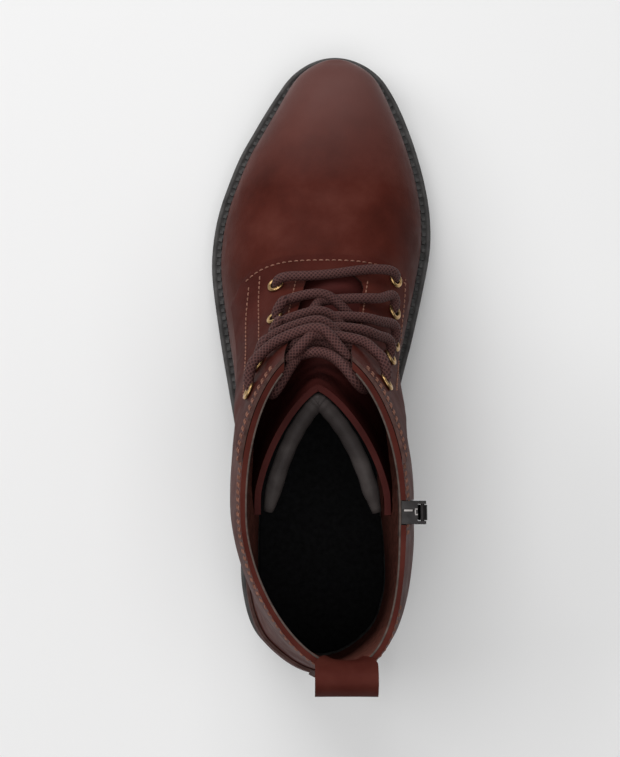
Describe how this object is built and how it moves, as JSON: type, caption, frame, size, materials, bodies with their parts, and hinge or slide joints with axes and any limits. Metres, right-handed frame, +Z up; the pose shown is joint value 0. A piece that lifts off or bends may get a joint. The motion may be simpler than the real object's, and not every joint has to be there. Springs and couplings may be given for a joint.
{
  "type": "lace up ankle boot",
  "caption": "Left ankle boot in burgundy leather with a laced front, a side zip, a pull loop and a rimmed rubber sole with a low heel.",
  "frame": {"origin": "on the floor under the middle of the heel, on the heel tread's flat face", "axes": "+Y to the toe, +X to the inner side of the foot, +Z up"},
  "size_m": [0.1014, 0.2804, 0.1642],
  "materials": {
    "leather": "smooth matte burgundy leather",
    "leather_overlay": "smooth matte burgundy leather",
    "sole_rubber": "matte dark grey rubber",
    "heel_rubber": "matte dark grey rubber",
    "insole_cloth": "matte black",
    "padded_cloth": "dark grey padded lining",
    "zip_cloth": "black zip tape",
    "zip_metal": "glossy black metal",
    "lace_cord": "round braided dark brown cord",
    "eyelet_brass": "antique brass"
  },
  "bodies": {
    "boot_body": {"counter": "leather_overlay", "eyelet_inner_1": "eyelet_brass", "eyelet_inner_2": "eyelet_brass", "eyelet_inner_3": "eyelet_brass", "eyelet_inner_4": "eyelet_brass", "eyelet_inner_5": "eyelet_brass", "eyelet_outer_1": "eyelet_brass", "eyelet_outer_2": "eyelet_brass", "eyelet_outer_3": "eyelet_brass", "eyelet_outer_4": "eyelet_brass", "eyelet_outer_5": "eyelet_brass", "facing": "leather_overlay", "heel_block": "heel_rubber", "heel_tread": "heel_rubber", "insole": "insole_cloth", "lace_bar": "lace_cord", "lace_cross_2": "lace_cord", "lace_cross_3": "lace_cord", "lace_cross_4": "lace_cord", "lace_cross_5": "lace_cord", "lace_top": "lace_cord", "outsole": "sole_rubber", "pull_loop": "leather_overlay", "tongue": "leather", "tongue_roll": "padded_cloth", "upper": "leather", "welt": "sole_rubber", "zip_slider": "zip_metal", "zip_tape": "zip_cloth"},
    "pull_body": {"zip_pull": "zip_metal"}
  },
  "joints": [
    {"name": "zip_pull_hinge", "type": "hinge", "parent": "boot_body", "child": "pull_body", "pos_m": [0.03643, 0.03678, 0.1455], "axis": [0, -1, 0], "range_deg": [0, 150]}
  ]
}
